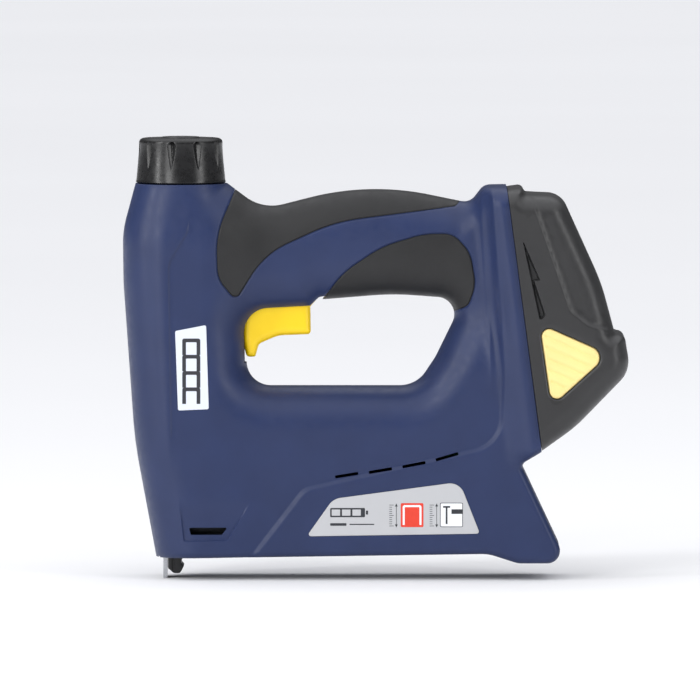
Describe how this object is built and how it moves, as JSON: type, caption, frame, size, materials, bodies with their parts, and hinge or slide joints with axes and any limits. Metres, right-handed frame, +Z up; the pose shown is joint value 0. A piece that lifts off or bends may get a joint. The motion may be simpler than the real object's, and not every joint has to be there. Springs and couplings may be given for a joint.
{
  "type": "cordless staple gun",
  "caption": "Cordless electric stapler with a D handle, top force knob, lever trigger, pull-out staple tray, sprung hammer and slide-off battery pack.",
  "frame": {"origin": "middle of the bounding box at the level of the safety contact's tip", "axes": "+Z up the hammer's stroke, +X from the nose to the battery, the housing halves meet at y = 0"},
  "size_m": [0.2294, 0.06, 0.2007],
  "materials": {
    "housing_blue": "fine moulded texture",
    "soft_grip": "matt overmould",
    "label_grey": "printed film",
    "badge_white": "printed film",
    "knob_black": "satin gloss",
    "dark_plastic": "fine moulded texture",
    "trigger_yellow": "fine moulded texture",
    "button_yellow": "fine moulded texture",
    "bright_steel": "zinc plated",
    "dark_steel": "hardened and oiled",
    "brass": "turned brass",
    "black_rubber": "moulded",
    "board_green": "solder mask",
    "cell_green": "shrink sleeve",
    "wire_red": "wire insulation",
    "wire_black": "wire insulation"
  },
  "bodies": {
    "housing": {"housing_left": "housing_blue", "housing_right": "housing_blue", "grip_top_left": "soft_grip", "grip_top_right": "soft_grip", "grip_lower_left": "soft_grip", "grip_lower_right": "soft_grip", "rating_label_left": "label_grey", "rating_label_right": "label_grey", "side_badge_left": "badge_white", "side_badge_right": "badge_white", "screw_neck": "bright_steel", "screw_head": "bright_steel", "screw_handle": "bright_steel", "screw_flange": "bright_steel", "screw_column": "bright_steel", "screw_heel": "bright_steel", "screw_nose": "bright_steel", "hammer_guide": "bright_steel", "bumper": "black_rubber", "main_spring": "dark_steel", "wheel_axle": "bright_steel", "drive_bracket": "bright_steel", "gearbox": "dark_plastic", "motor_can": "bright_steel", "motor_end_bell": "black_rubber", "trigger_pivot_pin": "bright_steel", "trigger_switch": "black_rubber", "trigger_spring": "bright_steel", "nose_block": "dark_plastic", "safety_spring": "bright_steel", "safety_switch": "black_rubber", "magazine_channel": "dark_steel", "control_board": "board_green", "terminal_block": "black_rubber", "wire_red": "wire_red", "wire_black": "wire_black"},
    "knob": {"power_knob": "knob_black", "knob_cap": "dark_plastic", "adjusting_screw": "bright_steel"},
    "spring_seat": {"spring_seat": "brass"},
    "hammer": {"hammer": "dark_steel", "driver_blade": "bright_steel"},
    "lifting_wheel": {"lifting_wheel": "dark_steel"},
    "motor_pinion": {"motor_pinion": "brass"},
    "trigger": {"trigger": "trigger_yellow"},
    "switch_plunger": {"switch_plunger": "dark_plastic"},
    "safety_contact": {"safety_contact": "bright_steel"},
    "magazine_tray": {"magazine_tray": "dark_steel", "staple_strip": "dark_steel", "pusher_spring": "bright_steel"},
    "pusher": {"pusher": "dark_steel"},
    "magazine_latch": {"magazine_latch": "dark_plastic"},
    "battery": {"battery_case_left": "dark_plastic", "battery_case_right": "dark_plastic", "battery_cell_left": "cell_green", "battery_cell_right": "cell_green", "battery_board": "board_green", "battery_plug": "black_rubber"},
    "battery_button_left": {"battery_button_left": "button_yellow"},
    "battery_button_right": {"battery_button_right": "button_yellow"}
  },
  "joints": [
    {"name": "force_knob_turn", "type": "hinge", "parent": "housing", "child": "knob", "pos_m": [-0.0883, 0, 0.19], "axis": [0, 0, 1], "range_deg": [0, 720]},
    {"name": "spring_seat_travel", "type": "slide", "parent": "housing", "child": "spring_seat", "axis": [0, 0, -1], "range_m": [0, 0.01]},
    {"name": "hammer_stroke", "type": "slide", "parent": "housing", "child": "hammer", "axis": [0, 0, 1], "range_m": [0, 0.022], "stiffness_N_per_m": 500, "springref_m": -0.02, "deforming": ["main_spring"]},
    {"name": "lifting_wheel_spin", "type": "hinge", "parent": "housing", "child": "lifting_wheel", "pos_m": [-0.057, 0, 0.062], "axis": [0, 1, 0], "continuous": true},
    {"name": "motor_pinion_spin", "type": "hinge", "parent": "housing", "child": "motor_pinion", "pos_m": [-0.04, 0, 0.062], "axis": [1, 0, 0], "continuous": true},
    {"name": "trigger_pull", "type": "hinge", "parent": "housing", "child": "trigger", "pos_m": [-0.025, 0, 0.1326], "axis": [0, 1, 0], "range_deg": [0, 6.5], "stiffness_Nm_per_rad": 0.6, "springref_deg": -22.92, "deforming": ["trigger_spring"]},
    {"name": "switch_plunger_push", "type": "slide", "parent": "housing", "child": "switch_plunger", "axis": [0, 0, 1], "range_m": [0, 0.0033]},
    {"name": "safety_contact_push", "type": "slide", "parent": "housing", "child": "safety_contact", "axis": [0, 0, 1], "range_m": [0, 0.0022], "stiffness_N_per_m": 1500, "springref_m": -0.008, "deforming": ["safety_spring"]},
    {"name": "magazine_tray_slide", "type": "slide", "parent": "housing", "child": "magazine_tray", "axis": [1, 0, 0], "range_m": [0, 0.1]},
    {"name": "pusher_slide", "type": "slide", "parent": "magazine_tray", "child": "pusher", "axis": [1, 0, 0], "range_m": [0, 0.06], "stiffness_N_per_m": 25, "springref_m": -0.04, "deforming": ["pusher_spring"]},
    {"name": "magazine_latch_press", "type": "slide", "parent": "magazine_tray", "child": "magazine_latch", "axis": [-1, 0, 0], "range_m": [0, 0.002], "stiffness_N_per_m": 300, "springref_m": -0.004},
    {"name": "battery_slide", "type": "slide", "parent": "housing", "child": "battery", "axis": [0.9912, 0, 0.1323], "range_m": [0, 0.045]},
    {"name": "battery_button_left_press", "type": "slide", "parent": "battery", "child": "battery_button_left", "axis": [0, 1, 0], "range_m": [0, 0.0022], "stiffness_N_per_m": 300, "springref_m": -0.004},
    {"name": "battery_button_right_press", "type": "slide", "parent": "battery", "child": "battery_button_right", "axis": [0, -1, 0], "range_m": [0, 0.0022], "stiffness_N_per_m": 300, "springref_m": -0.004}
  ],
  "couplings": [
    {"joint": "spring_seat_travel", "follows": "force_knob_turn", "m_per_rad": 0.00079},
    {"joint": "motor_pinion_spin", "follows": "lifting_wheel_spin", "ratio": 2.6667},
    {"joint": "switch_plunger_push", "follows": "trigger_pull", "m_per_rad": 0.0285}
  ]
}
